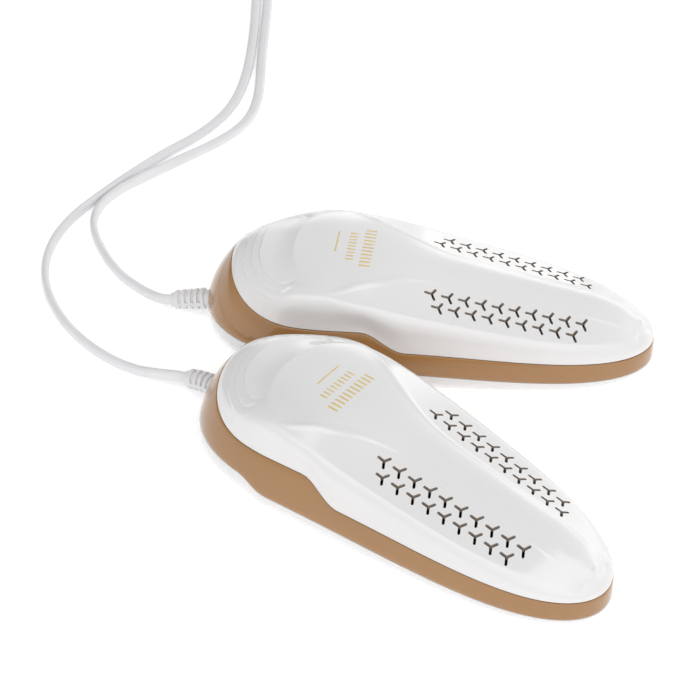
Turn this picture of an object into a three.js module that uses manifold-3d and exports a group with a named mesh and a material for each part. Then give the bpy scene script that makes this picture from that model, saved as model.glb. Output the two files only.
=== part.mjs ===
// Electric boot dryer: two heated, foot-shaped dryers that share one mains lead.
// Millimetres, +Z up. The origin is the middle of the pair's footprint, on the surface it lies on.
// Each dryer is drawn in a frame of its own: its heel tip at x = 0, its toe along +X, its sole at z = 0.

import * as THREE from 'three';
import { mergeVertices } from 'three/addons/utils/BufferGeometryUtils.js';
import Module from 'manifold-3d';

const wasm = await Module();
wasm.setup();

// ---------- Driving dimensions ----------

// Plan outline of one dryer
const LENGTH = 205;
const WIDEST_AT = 56;
const HALF_WIDTH = 41.6;
const TAPER = 0.063;
const TOE_POWER = 5.13;
const HEEL_POWER = 2.4;

// The side wall stands upright at the belt and leans in by the square of the height above it
const BELT_HEIGHT = 7;
const LEAN = 0.0123;

// Top of the dryer: crown line, crease that borders the plateau, shoulder that borders the side
const CROWN = [
  [41, 47.6], [62, 48.3], [77, 48], [92, 46.4], [113, 41.7],
  [132, 38.2], [177, 29.8], [189, 25.7], [198, 20.4],
];
const CREASE_HALF = [
  [61.7, 30], [100, 12.8], [112, 10.3], [132, 9.4], [176, 9.4], [189, 8.2], [197.8, 5.8],
];
const CREASE_RISE = [
  [61.7, 0], [77, 5], [92, 6.4], [112, 5.5], [176, 5.2], [189, 3.8], [197.8, 0],
];
const FACET_START = 61.7;
const FACET_END = 197.8;
const SHOULDER_SHARE = 0.815;
const SHOULDER_LENGTH = 143;
const SHOULDER_POWER = 6;
const SHOULDER_START_HEIGHT = 44.1;
const SHOULDER_FALL = 0.19;
const SHOULDER_ANGLE = 32 * Math.PI / 180;
const HEEL_CENTRE = 41;

// Shells and band
const WALL = 2;
const SEAM = 0.3;
const TONGUE_WALL = 1.2;
const TONGUE_RISE = 1.2;
const TONGUE_TUCK = 1.4;
const SOLE_WALL = 2.2;

// Air slots: rows of three-armed stars on both facets
const SLOT_PITCH = 7.5;
const SLOT_MIDDLE = 139.1;
const SLOT_ROWS = [{ count: 10, half: 15.8 }, { count: 9, half: 22.1 }];
const SLOT_ROW_TAPER = 0.065;
const SLOT_ARM_LENGTH = 3.3;
const SLOT_ARM_WIDTH = 1.2;

// Screws, posts and clamp
const CASE_SCREWS = [[38, 24], [38, -24], [182, 12], [182, -12]];
const HEEL_POST_TOP = 40.6;
const TOE_POST_TOP = 22.2;
const POST_JOINT = 12;
const CLAMP_AT = 22;
const CLAMP_SCREW_Y = 8.5;
const TAIL_HEIGHT = 12;

// Heater
const HEATER_START = 97;
const HEATER_LENGTH = 76;
const HEATER_WIDTH = 22;
const HEATER_BASE = 6.3;
const RADIATOR_HEIGHT = 7;
const CORE_HEIGHT = 3;
const FIN_COUNT = 12;
const FIN_THICKNESS = 1.2;
const FIN_ROOT = 1.5;
const BRACKET_THICKNESS = 3;
const BRACKET_WIDTH = 34;
const BRACKET_HEIGHT = 18;

// Cords: a flat twin cord, drawn as a plain tube
const CORD_WIDTH = 5.2;
const CORD_TUBE_RADIUS = 1.8;
const CORD_SIDES = 8;
const RELIEF_HEIGHT = 9.4;
const RELIEF_DROOP = 10 * Math.PI / 180;
const RELIEF_OUT = 17;
const RELIEF_IN = 6;
const RELIEF_RIBS = 5;
const NECK_RADIUS = 4;
const BORE_RADIUS = 2.4;

// The pair: where each heel tip lies and which way the toe points
const DRYERS = [
  { name: 'front', heel: [-94.27, 19.25], turn: -37.88 * Math.PI / 180 },
  { name: 'rear', heel: [-101.57, 81.15], turn: -8.41 * Math.PI / 180 },
];

// Free stretch of each branch cord, from just outside its strain relief to the splitter
const BRANCH_ROUTES = {
  front: [
    [-113, 31.6, 5.6], [-120.6, 33.2, 4.7], [-129.8, 36.6, 3.8], [-139, 41.9, 3.2],
    [-147.6, 48.7, 2.8], [-155.5, 56.3, 2.6], [-162.5, 64.8, 2.6], [-168.5, 74, 2.6],
    [-173.4, 84, 2.6], [-177.1, 94.4, 2.6], [-179.4, 105.2, 2.6], [-180, 116.1, 2.6],
    [-178.9, 126.9, 2.6], [-176.1, 137.5, 2.6], [-171.7, 147.6, 2.6], [-166, 157.1, 2.5],
    [-159.3, 166.1, 2.5], [-152.5, 174.6, 2.5], [-145.5, 183, 2.4], [-138.4, 191.3, 2.3],
    [-131.2, 199.5, 2.3], [-123.6, 207.5, 2.2], [-115.8, 215.3, 2.1], [-108.6, 223.7, 2],
    [-102.3, 232.8, 2], [-97.3, 242.5, 1.9], [-93.8, 252.8, 1.9], [-91.4, 263.6, 1.9],
    [-89.6, 276, 1.9], [-88, 296.5, 1.9], [-87.1, 318.4, 1.9], [-86.7, 349.7, 1.9],
  ],
  rear: [
    [-123.2, 85.4, 5.5], [-129.4, 90, 4.6], [-136.6, 97.2, 3.8], [-143.6, 105.8, 3.1],
    [-149.3, 115.2, 2.8], [-154.1, 125.3, 2.6], [-157.9, 135.9, 2.6], [-159.7, 146.6, 2.5],
    [-158.3, 157.2, 2.5], [-153.8, 166.6, 2.5], [-146.7, 175, 2.4], [-138.2, 182.5, 2.4],
    [-129.7, 189.7, 2.3], [-121.4, 196.7, 2.3], [-113, 203.7, 2.2], [-104.5, 211, 2.1],
    [-96.7, 218.9, 2.1], [-90.3, 227.7, 2], [-86.1, 237.7, 1.9], [-83.9, 248.5, 1.9],
    [-82.9, 259.6, 1.9], [-82.5, 281.6, 1.9], [-81.8, 303.6, 1.9], [-81, 325.5, 1.9],
    [-80.3, 349.7, 1.9],
  ],
};

// Splitter, mains lead, its coil and the plug
const SPLITTER = { x: -83.5, start: 350, end: 374, width: 15, height: 7 };
const COIL = { centre: [-51.3, 436], inner: 19, outer: 35, base: 1.2, top: 11.6 };
const LEAD_IN = [
  [-83.5, 374.3, 3.5], [-83.5, 384, 3.1], [-83.5, 396, 3.2], [-83.5, 407, 3.6], [-83.5, 417.8, 3.8],
];
const LEAD_OUT = [
  [-29.5, 465.6, 9], [-22, 465.6, 7.6], [-13, 465.7, 6.3], [-4, 465.8, 6.2], [4.7, 465.8, 6.9],
];
const TIE = { angle: -50 * Math.PI / 180, width: 6, thickness: 0.8, clearance: 0.35 };
const PLUG = { x: 5, y: 465.8, length: 34, width: 25, rear: 11, thickness: 13.8 };
const PIN = { radius: 2, length: 19, spacing: 18.6 };

// ---------- Materials ----------

function finish(color, roughness, metalness = 0) {
  return new THREE.MeshStandardMaterial({ color, roughness, metalness });
}

const FINISHES = {
  shell: () => finish(0xe9e5e2, 0.25),
  band: () => finish(0x9a6a3c, 0.2),
  rubber: () => finish(0xd9d8da, 0.6),
  cord: () => finish(0xd2d2d8, 0.5),
  steel: () => finish(0x9a9ca0, 0.35, 0.9),
  aluminium: () => finish(0xb9bcc0, 0.4, 0.9),
  ceramic: () => finish(0x5c564f, 0.7),
  bracket: () => finish(0x2c2a28, 0.6),
  brown: () => finish(0x6b3f22, 0.5),
  blue: () => finish(0x2f4f8f, 0.5),
  brass: () => finish(0xc9c3b4, 0.25, 0.9),
  tie: () => finish(0x222222, 0.5),
};

// ---------- Curves that repeat ----------

const mix = (a, b, t) => a + (b - a) * t;
const clamp = (v, lo, hi) => Math.min(Math.max(v, lo), hi);

function smoothStep(from, to, v) {
  const t = clamp((v - from) / (to - from), 0, 1);
  return t * t * (3 - 2 * t);
}

// Smooth curve through a few [x, value] points, with no overshoot between them
function through(points, x) {
  const last = points.length - 1;
  if (x <= points[0][0]) return points[0][1];
  if (x >= points[last][0]) return points[last][1];
  const slope = (i) => (points[i + 1][1] - points[i][1]) / (points[i + 1][0] - points[i][0]);
  const tangent = (i) => {
    if (i === 0) return slope(0);
    if (i === last) return slope(last - 1);
    const before = slope(i - 1);
    const after = slope(i);
    return before * after <= 0 ? 0 : 2 * before * after / (before + after);
  };
  const k = points.findIndex((p, i) => i > 0 && x <= p[0]) - 1;
  const span = points[k + 1][0] - points[k][0];
  const t = (x - points[k][0]) / span;
  const rest = 1 - t;
  return points[k][1] * rest * rest * (1 + 2 * t) + points[k + 1][1] * t * t * (3 - 2 * t)
    + span * t * rest * (tangent(k) * rest - tangent(k + 1) * t);
}

function halfWidth(x) {
  if (x < WIDEST_AT) {
    return HALF_WIDTH * Math.sqrt(Math.max(0, 1 - ((WIDEST_AT - x) / WIDEST_AT) ** HEEL_POWER));
  }
  const u = (x - WIDEST_AT) / (LENGTH - WIDEST_AT);
  return (HALF_WIDTH - TAPER * (x - WIDEST_AT)) * Math.sqrt(Math.max(0, 1 - u ** TOE_POWER));
}

// The band is tall round the heel, steps down beside the arch and runs on low to the toe
function bandTop(x) {
  const step = mix(27.5, 19.5, smoothStep(76, 96, x));
  const heelRise = 11.5 * Math.max(0, 1 - x / 45) ** 2;
  const fall = 8 * Math.max(0, (x - 95) / 110) ** 1.6;
  return step + heelRise - fall;
}

function bandBottom(x) {
  const step = mix(14.8, 9.8, smoothStep(44, 60, x));
  const fall = 7.3 * Math.max(0, (x - 60) / 145) ** 1.7;
  return step - fall;
}

function shoulderHalf(x) {
  const u = clamp((x - WIDEST_AT) / SHOULDER_LENGTH, 0, 1);
  const wide = HALF_WIDTH - TAPER * (x - WIDEST_AT);
  const start = 3.6 * clamp(1 - (x - FACET_START) / 25, 0, 1) ** 2;
  return SHOULDER_SHARE * wide * Math.sqrt(1 - u ** SHOULDER_POWER) - start;
}

const shoulderHeight = (x) => SHOULDER_START_HEIGHT - SHOULDER_FALL * (x - FACET_START);

// ---------- Stations round the outline, toe to heel on one side and back on the other ----------

function outlineSide(toeSteps, heelSteps) {
  const points = [];
  for (let i = 0; i <= toeSteps; i++) {
    points.push(WIDEST_AT + (LENGTH - WIDEST_AT) * Math.cos((i / toeSteps) * Math.PI / 2));
  }
  for (let i = 1; i <= heelSteps; i++) {
    points.push(WIDEST_AT * (1 - Math.sin((i / heelSteps) * Math.PI / 2)));
  }
  return points.map((x, i) => {
    const atEnd = i === 0 || i === points.length - 1;
    const nudge = 0.01;
    const slope = (halfWidth(x + nudge) - halfWidth(x - nudge)) / (2 * nudge);
    const length = Math.hypot(1, slope);
    return {
      x,
      y: atEnd ? 0 : halfWidth(x),
      nx: atEnd ? (i === 0 ? 1 : -1) : -slope / length,
      ny: atEnd ? 0 : 1 / length,
    };
  });
}

const SIDE = outlineSide(15, 9);
const STATIONS = [
  ...SIDE.map((s) => ({ ...s, side: 1 })),
  ...SIDE.slice(1, -1).reverse().map((s) => ({ ...s, side: -1 })),
];

// A point of the side wall at a height, moved in from the outer face by an inset
function wallPoint(station, z, inset) {
  const lean = LEAN * Math.max(z - BELT_HEIGHT, 0) ** 2 + inset;
  const y = station.y - lean * station.ny;
  return new THREE.Vector3(station.x - lean * station.nx, station.side * y, z);
}

// ---------- Top of the dryer, as a row of points from the seam to the crown ----------

const SIDE_STEPS = 3;
const PLATEAU_STEPS = 2;

// Where the crease and the shoulder cross this row, as a share of its reach and a height
function rowMarks(x, reach, rim, crown) {
  const heelRise = mix(0.45, 0.797, smoothStep(12, 58, x));
  const smoothHeel = { share: SHOULDER_HEEL_SHARE, height: mix(rim, crown, heelRise) };
  const smoothToe = { share: SHOULDER_TOE_SHARE, height: mix(rim, crown, 0.68) };
  if (x <= FACET_START) return { crease: smoothHeel, shoulder: smoothHeel };
  if (x >= FACET_END) return { crease: smoothToe, shoulder: smoothToe };
  const height = shoulderHeight(x);
  return {
    crease: { share: through(CREASE_HALF, x) / reach, height: height + through(CREASE_RISE, x) },
    shoulder: { share: shoulderHalf(x) / reach, height },
  };
}

function seamReach(x) {
  return halfWidth(x) - LEAN * (bandTop(x) - BELT_HEIGHT) ** 2;
}

const SHOULDER_HEEL_SHARE = through(CREASE_HALF, FACET_START) / seamReach(FACET_START);
const SHOULDER_TOE_SHARE = through(CREASE_HALF, FACET_END) / seamReach(FACET_END);

function topRow(station, inset) {
  const rimHeight = bandTop(station.x) + SEAM / 2;
  const rim = wallPoint(station, rimHeight, inset);
  const middle = clamp(rim.x, HEEL_CENTRE, FACET_END);
  const outer = wallPoint(station, rimHeight, 0);
  const outerReach = Math.hypot(outer.x - clamp(outer.x, HEEL_CENTRE, FACET_END), outer.y);
  const reach = Math.hypot(rim.x - middle, rim.y);
  const toward = new THREE.Vector2(rim.x - middle, rim.y).divideScalar(reach);
  const crown = through(CROWN, middle);
  const marks = rowMarks(outer.x, outerReach, rimHeight, crown);
  const plateauPower = mix(3, 2, smoothStep(FACET_START, 100, outer.x));
  const drop = crown - marks.crease.height;
  const endSlope = plateauPower * drop / (marks.crease.share * outerReach);
  const onFacets = smoothStep(FACET_START, 80, outer.x) * (1 - smoothStep(188, FACET_END, outer.x));
  const sideAngle = mix(Math.atan(endSlope), SHOULDER_ANGLE, onFacets);

  // Side: from the rim up to the shoulder
  const shoulder = new THREE.Vector2(marks.shoulder.share * reach, marks.shoulder.height - inset);
  const foot = new THREE.Vector2(reach, rimHeight);
  const handle = 0.42 * shoulder.distanceTo(foot);
  const upward = new THREE.Vector2(-2 * LEAN * (rimHeight - BELT_HEIGHT), 1).normalize();
  const outward = new THREE.Vector2(Math.cos(sideAngle), -Math.sin(sideAngle));
  const side = new THREE.CubicBezierCurve(
    foot,
    foot.clone().addScaledVector(upward, handle),
    shoulder.clone().addScaledVector(outward, handle),
    shoulder,
  );
  const row = side.getPoints(SIDE_STEPS);

  // Facet and plateau: from the shoulder over the crease to the crown
  const creaseReach = marks.crease.share * reach;
  for (let i = 0; i <= PLATEAU_STEPS; i++) {
    const q = 1 - i / PLATEAU_STEPS;
    row.push(new THREE.Vector2(creaseReach * q, crown - inset - drop * q ** plateauPower));
  }
  return row.map((p) => new THREE.Vector3(middle + toward.x * p.x, toward.y * p.x, p.y));
}

// ---------- Solids from stacked loops ----------

// Joins a stack of equal loops into one closed skin. The first and last loops close on themselves.
function stackedLoops(loops) {
  const count = loops[0].length;
  const positions = [];
  const addTriangle = (a, b, c) => {
    const near = (p, q) => p.distanceToSquared(q) < 1e-8;
    if (near(a, b) || near(b, c) || near(c, a)) return;
    for (const p of [a, b, c]) positions.push(p.x, p.y, p.z);
  };
  for (let k = 0; k + 1 < loops.length; k++) {
    for (let i = 0; i < count; i++) {
      const j = (i + 1) % count;
      const [low, high] = [loops[k], loops[k + 1]];
      addTriangle(low[i], low[j], high[j]);
      addTriangle(low[i], high[j], high[i]);
    }
  }
  const geometry = new THREE.BufferGeometry();
  geometry.setAttribute('position', new THREE.Float32BufferAttribute(positions, 3));
  return geometry;
}

// Loops of the top skin, from the seam to the crown line
function topLoops(inset) {
  const rows = STATIONS.map((s) => topRow(s, inset));
  return rows[0].map((_, k) => rows.map((row) => row[k]));
}

function spineLoop(z) {
  return STATIONS.map((s) => new THREE.Vector3(clamp(s.x, HEEL_CENTRE, FACET_END - 8), 0, z));
}

function wallLoop(height, inset) {
  return STATIONS.map((s) => wallPoint(s, height(s.x), inset));
}

// ---------- Booleans ----------

function toManifold(geometry) {
  const bare = geometry.index ? geometry.toNonIndexed() : geometry.clone();
  for (const name of Object.keys(bare.attributes)) {
    if (name !== 'position') bare.deleteAttribute(name);
  }
  const merged = mergeVertices(bare, 1e-4);
  return new wasm.Manifold(new wasm.Mesh({
    numProp: 3,
    vertProperties: new Float32Array(merged.attributes.position.array),
    triVerts: new Uint32Array(merged.index.array),
  }));
}

function toGeometry(manifold) {
  const mesh = manifold.getMesh();
  const geometry = new THREE.BufferGeometry();
  const positions = new Float32Array(mesh.vertProperties);
  geometry.setAttribute('position', new THREE.BufferAttribute(positions, 3));
  geometry.setIndex(new THREE.BufferAttribute(new Uint32Array(mesh.triVerts), 1));
  return geometry;
}

// ---------- Simple pieces ----------

// Upright cylinder between two heights
function post(radius, x, y, bottom, top, sides = 12) {
  return new THREE.CylinderGeometry(radius, radius, top - bottom, sides)
    .rotateX(Math.PI / 2)
    .translate(x, y, (bottom + top) / 2);
}

function block(from, to) {
  const size = to.map((v, i) => v - from[i]);
  return new THREE.BoxGeometry(...size).translate(...from.map((v, i) => v + size[i] / 2));
}

// Flat outline in X and Y, raised between two heights
function slab(points, bottom, top) {
  const shape = new THREE.Shape(points.map(([x, y]) => new THREE.Vector2(x, y)));
  return new THREE.ExtrudeGeometry(shape, { depth: top - bottom, bevelEnabled: false })
    .translate(0, 0, bottom);
}

// Turned solid from a closed profile of [radius, height] points
function turned(profile, sides) {
  const closed = [...profile, profile[0]].map(([r, h]) => new THREE.Vector2(r, h));
  return new THREE.LatheGeometry(closed, sides).rotateX(Math.PI / 2);
}

// Round rod along a smooth curve through the points
function rod(points, radius, steps, sides = CORD_SIDES) {
  const stops = points.map((p) => new THREE.Vector3(...p));
  const curve = new THREE.CatmullRomCurve3(stops, false, 'centripetal');
  const section = new THREE.Shape();
  section.absarc(0, 0, radius, 0, Math.PI * 2);
  return new THREE.ExtrudeGeometry(section, { steps, extrudePath: curve, curveSegments: sides / 2 });
}

// Screw with a flat head below and its tip above
function screw(x, y, seat, tip, headRadius = 2.8, shankRadius = 1.4) {
  const headHeight = 2;
  return turned([
    [0, seat - headHeight], [headRadius, seat - headHeight], [headRadius, seat],
    [shankRadius, seat], [shankRadius, tip - 1.5], [0, tip],
  ], 8).translate(x, y, 0);
}

// ---------- Pieces of one dryer ----------

function slotCutter(x, y) {
  const points = [];
  for (let arm = 0; arm < 3; arm++) {
    const angle = Math.PI + arm * 2 * Math.PI / 3;
    const along = new THREE.Vector2(Math.cos(angle), Math.sin(angle));
    const across = new THREE.Vector2(-along.y, along.x);
    const half = SLOT_ARM_WIDTH / 2;
    const tip = along.clone().multiplyScalar(SLOT_ARM_LENGTH);
    const root = along.clone().multiplyScalar(half / Math.sqrt(3)).addScaledVector(across, -half);
    const corners = [-half, half].map((side) => tip.clone().addScaledVector(across, side));
    points.push(root, ...corners);
  }
  return slab(points.map((p) => [x + p.x, y + p.y]), BELT_HEIGHT, 60);
}

function slotCentres() {
  const centres = [];
  for (const row of SLOT_ROWS) {
    for (let i = 0; i < row.count; i++) {
      const x = SLOT_MIDDLE + SLOT_PITCH * (i - (row.count - 1) / 2);
      const half = row.half - SLOT_ROW_TAPER * (x - SLOT_MIDDLE);
      centres.push([x, half], [x, -half]);
    }
  }
  return centres;
}

// Places a solid that is turned about Z onto the strain relief's axis, +Z pointing out of the heel
function onReliefAxis(geometry) {
  return geometry.rotateY(-(Math.PI / 2 + RELIEF_DROOP)).translate(0, 0, RELIEF_HEIGHT);
}

function reliefPoint(distance) {
  return [-distance * Math.cos(RELIEF_DROOP), 0, RELIEF_HEIGHT - distance * Math.sin(RELIEF_DROOP)];
}

function reliefHole() {
  const neck = post(NECK_RADIUS + SEAM, 0, 0, -9, 7, 16);
  const pocket = post(NECK_RADIUS + 1 + SEAM, 0, 0, -9, -3.6, 16);
  return toManifold(onReliefAxis(neck)).add(toManifold(onReliefAxis(pocket)));
}

function strainRelief() {
  const profile = [
    [BORE_RADIUS, -RELIEF_IN], [NECK_RADIUS + 1, -RELIEF_IN], [NECK_RADIUS + 1, -4],
    [NECK_RADIUS, -4], [NECK_RADIUS, 1.2],
  ];
  const pitch = 3.05;
  const rib = 1.8;
  for (let i = 0; i < RELIEF_RIBS; i++) {
    const start = 1.2 + pitch * i;
    const radius = 5 - 0.12 * i;
    profile.push([radius, start], [radius, start + rib], [3.5, start + rib], [3.5, start + pitch]);
  }
  profile.splice(-1);
  profile.push([3.2, RELIEF_OUT], [BORE_RADIUS, RELIEF_OUT]);
  return onReliefAxis(turned(profile, 12));
}

function topShell() {
  const outer = topLoops(0);
  const inner = topLoops(WALL);
  let solid = toManifold(stackedLoops([...inner.reverse(), ...outer]));
  for (const [x, y] of CASE_SCREWS) {
    const top = x < WIDEST_AT ? HEEL_POST_TOP : TOE_POST_TOP;
    solid = solid.add(toManifold(post(3.4, x, y, POST_JOINT + SEAM, top)));
    solid = solid.subtract(toManifold(post(1.7, x, y, POST_JOINT - 1, POST_JOINT + 7, 8)));
  }
  for (const [x, y] of slotCentres()) solid = solid.subtract(toManifold(slotCutter(x, y)));
  return toGeometry(solid);
}

function trimBand() {
  const low = (x) => bandBottom(x) + SEAM / 2;
  const high = (x) => bandTop(x) - SEAM / 2;
  const middle = (x) => mix(low(x), high(x), 0.55);
  const loops = [
    wallLoop(low, WALL), wallLoop(low, 0), wallLoop(middle, 0),
    wallLoop(high, 0), wallLoop(high, WALL), wallLoop(middle, WALL), wallLoop(low, WALL),
  ];
  return stackedLoops(loops);
}

// The bottom shell curves from the sole up to the band, then rises inside it as a tongue
function bottomShell() {
  const edge = (x) => bandBottom(x) - SEAM / 2;
  const rounding = (x) => clamp(0.7 * bandBottom(x), 2, 10.4);
  const bowl = (share, wall) => STATIONS.map((s) => {
    const angle = share * Math.PI / 2;
    const height = edge(s.x) - (edge(s.x) - wall) * Math.sin(angle);
    return wallPoint(s, height, wall + rounding(s.x) * (1 - Math.cos(angle)));
  });
  const tongueInset = WALL + SEAM;
  const tongueTop = (x) => bandTop(x) + TONGUE_RISE;
  const loops = [
    spineLoop(SOLE_WALL),
    bowl(1, SOLE_WALL),
    bowl(0.4, tongueInset + TONGUE_WALL - 1),
    wallLoop(tongueTop, tongueInset + TONGUE_TUCK + TONGUE_WALL),
    wallLoop(tongueTop, tongueInset + TONGUE_TUCK),
    wallLoop(bandTop, tongueInset),
    wallLoop(edge, tongueInset),
    wallLoop(edge, 0),
    bowl(0.35, 0),
    bowl(0.7, 0),
    bowl(1, 0),
    spineLoop(0),
  ];
  let solid = toManifold(stackedLoops(loops.reverse()));
  for (const [x, y] of CASE_SCREWS) {
    solid = solid.add(toManifold(post(4.6, x, y, 1, POST_JOINT)));
    solid = solid.subtract(toManifold(post(3.1, x, y, -1, 4)));
    solid = solid.subtract(toManifold(post(1.7, x, y, 3, POST_JOINT + 1, 8)));
  }
  const saddleTop = TAIL_HEIGHT - CORD_TUBE_RADIUS - SEAM;
  solid = solid.add(toManifold(block([CLAMP_AT - 4, -5, 1], [CLAMP_AT + 4, 5, saddleTop])));
  for (const side of [1, -1]) {
    const top = TAIL_HEIGHT + CORD_TUBE_RADIUS;
    solid = solid.add(toManifold(post(3, CLAMP_AT, side * CLAMP_SCREW_Y, 1, top)));
    solid = solid.subtract(toManifold(post(1.4, CLAMP_AT, side * CLAMP_SCREW_Y, top - 8, top + 1, 8)));
  }
  return toGeometry(solid.subtract(reliefHole()));
}

// Aluminium radiator: a flat root with upright fins, drawn along X and pushed through along Y
function radiator(rootHeight, direction) {
  const pitch = (HEATER_LENGTH - FIN_THICKNESS) / (FIN_COUNT - 1);
  const points = [[0, 0]];
  for (let i = 0; i < FIN_COUNT; i++) {
    const x = i * pitch;
    points.push([x, RADIATOR_HEIGHT], [x + FIN_THICKNESS, RADIATOR_HEIGHT]);
    if (i + 1 < FIN_COUNT) points.push([x + FIN_THICKNESS, FIN_ROOT], [x + pitch, FIN_ROOT]);
  }
  points.push([HEATER_LENGTH, 0]);
  return slab(points, -HEATER_WIDTH / 2, HEATER_WIDTH / 2)
    .rotateX(direction * Math.PI / 2)
    .translate(HEATER_START, 0, rootHeight);
}

function heaterBracket(x) {
  const half = BRACKET_WIDTH / 2;
  const gap = HEATER_WIDTH / 2 + SEAM;
  const seat = HEATER_BASE - SEAM;
  const floor = SOLE_WALL + SEAM;
  const outline = [
    [-half, floor], [half, floor], [half, BRACKET_HEIGHT], [gap, BRACKET_HEIGHT],
    [gap, seat], [-gap, seat], [-gap, BRACKET_HEIGHT], [-half, BRACKET_HEIGHT],
  ];
  return slab(outline, 0, BRACKET_THICKNESS)
    .rotateX(Math.PI / 2)
    .rotateZ(Math.PI / 2)
    .translate(x, 0, 0);
}

function cableClamp() {
  const bottom = TAIL_HEIGHT + CORD_TUBE_RADIUS + SEAM;
  let solid = toManifold(block([CLAMP_AT - 4, -12, bottom], [CLAMP_AT + 4, 12, bottom + 3]));
  for (const side of [1, -1]) {
    solid = solid.subtract(toManifold(post(1.5, CLAMP_AT, side * CLAMP_SCREW_Y, bottom - 1, bottom + 4, 8)));
  }
  return toGeometry(solid);
}

function clampScrew(side) {
  const seat = -(TAIL_HEIGHT + CORD_TUBE_RADIUS + SEAM + 3 + SEAM);
  return screw(CLAMP_AT, -side * CLAMP_SCREW_Y, seat, seat + 9, 2.4, 1.1).rotateX(Math.PI);
}

const CORE_BASE = HEATER_BASE + RADIATOR_HEIGHT + SEAM;
const UPPER_ROOT = CORE_BASE + CORE_HEIGHT + SEAM;

function thermalCutOut() {
  const base = UPPER_ROOT + RADIATOR_HEIGHT + SEAM;
  return turned([[0, 0], [2.1, 0], [2.1, 10], [1.2, 12], [1.2, 14], [0, 14]], 10)
    .rotateY(Math.PI / 2)
    .translate(112, 0, base + 2.1);
}

// Core wire from the end of the cord's tail to the end of the heater
function heaterLead(side) {
  const start = 30.5;
  const end = HEATER_START - SEAM;
  const height = CORE_BASE + CORE_HEIGHT / 2;
  const points = [[start, side * 1.3, TAIL_HEIGHT], [38, side * 3, TAIL_HEIGHT - 0.6], [52, side * 7, 10],
    [68, side * 8.5, 8], [82, side * 8, 10.5], [91, side * 7, height], [end, side * 7, height]];
  return rod(points, 0.9, 11, 6);
}

function branchCord(dryer) {
  const local = [[30, 0, TAIL_HEIGHT], [23, 0, TAIL_HEIGHT], [15, 0, TAIL_HEIGHT]];
  for (const distance of [-RELIEF_IN - 1, 0, RELIEF_OUT * 0.55, RELIEF_OUT + 1]) {
    local.push(reliefPoint(distance));
  }
  const frame = dryerFrame(dryer);
  const held = local.map((p) => new THREE.Vector3(...p).applyMatrix4(frame).toArray());
  return rod([...held, ...BRANCH_ROUTES[dryer.name]], CORD_TUBE_RADIUS, 60);
}

function dryerFrame(dryer) {
  const frame = new THREE.Matrix4().makeRotationZ(dryer.turn);
  return frame.setPosition(dryer.heel[0], dryer.heel[1], 0);
}

// ---------- Pieces on the shared lead ----------

function ySplitter() {
  const { x, start, end, width, height } = SPLITTER;
  const waist = CORD_WIDTH / 2 + 1.5;
  const half = width / 2;
  return slab([[x - half, start], [x + half, start], [x + half, start + 10], [x + waist, end],
    [x - waist, end], [x - half, start + 10]], 0, height);
}

function cordCoil() {
  const { centre, inner, outer, base, top } = COIL;
  return turned([[inner, base], [outer, base], [outer, top], [inner, top]], 28)
    .translate(centre[0], centre[1], 0);
}

// Strap closed round the coil's section
function cordTie() {
  const { centre, inner, outer, base, top } = COIL;
  const gap = TIE.clearance;
  const wall = gap + TIE.thickness;
  const half = TIE.width / 2;
  const outside = block([inner - wall - 1, -half, base - wall], [outer + wall, half, top + wall]);
  const inside = block([inner - gap - 1, -half - 1, base - gap], [outer + gap, half + 1, top + gap]);
  return toGeometry(toManifold(outside).subtract(toManifold(inside)))
    .rotateZ(TIE.angle)
    .translate(centre[0], centre[1], 0);
}

function plugBody() {
  const { x, y, length, width, rear, thickness } = PLUG;
  const outline = [[x, y - rear / 2], [x + 12, y - width / 2], [x + length, y - width / 2 + 2],
    [x + length, y + width / 2 - 2], [x + 12, y + width / 2], [x, y + rear / 2]];
  return slab(outline, 0, thickness);
}

function plugPin(side) {
  const { radius, length, spacing } = PIN;
  const start = PLUG.x + PLUG.length + SEAM;
  return turned([[0, 0], [radius, 0], [radius, length - 1], [radius - 1, length], [0, length]], 10)
    .rotateY(Math.PI / 2)
    .translate(start, PLUG.y + side * spacing / 2, PLUG.thickness / 2);
}

// ---------- Assembly ----------

function named(name, geometry, material) {
  const mesh = new THREE.Mesh(geometry, material);
  mesh.name = name;
  return mesh;
}

function dryerGroup(dryer) {
  const group = new THREE.Group();
  const add = (name, geometry, material) => group.add(named(`${dryer.name}_${name}`, geometry, material));
  add('top_shell', topShell(), FINISHES.shell());
  add('trim_band', trimBand(), FINISHES.band());
  add('bottom_shell', bottomShell(), FINISHES.shell());
  add('strain_relief', strainRelief(), FINISHES.rubber());
  CASE_SCREWS.forEach(([x, y], i) => {
    add(`case_screw_${i + 1}`, screw(x, y, 3.7, POST_JOINT + 6.5), FINISHES.steel());
  });
  add('cable_clamp', cableClamp(), FINISHES.bracket());
  add('clamp_screw_1', clampScrew(1), FINISHES.steel());
  add('clamp_screw_2', clampScrew(-1), FINISHES.steel());
  add('heater_bracket_heel', heaterBracket(HEATER_START + 3), FINISHES.bracket());
  add('heater_bracket_toe', heaterBracket(HEATER_START + HEATER_LENGTH - 6), FINISHES.bracket());
  add('radiator_lower', radiator(HEATER_BASE + RADIATOR_HEIGHT, -1), FINISHES.aluminium());
  add('radiator_upper', radiator(UPPER_ROOT, 1), FINISHES.aluminium());
  const core = block([HEATER_START, -HEATER_WIDTH / 2, CORE_BASE],
    [HEATER_START + HEATER_LENGTH, HEATER_WIDTH / 2, CORE_BASE + CORE_HEIGHT]);
  add('heater_core', core, FINISHES.ceramic());
  add('thermal_cut_out', thermalCutOut(), FINISHES.steel());
  add('live_lead', heaterLead(1), FINISHES.brown());
  add('neutral_lead', heaterLead(-1), FINISHES.blue());
  group.applyMatrix4(dryerFrame(dryer));
  return group;
}

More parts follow.
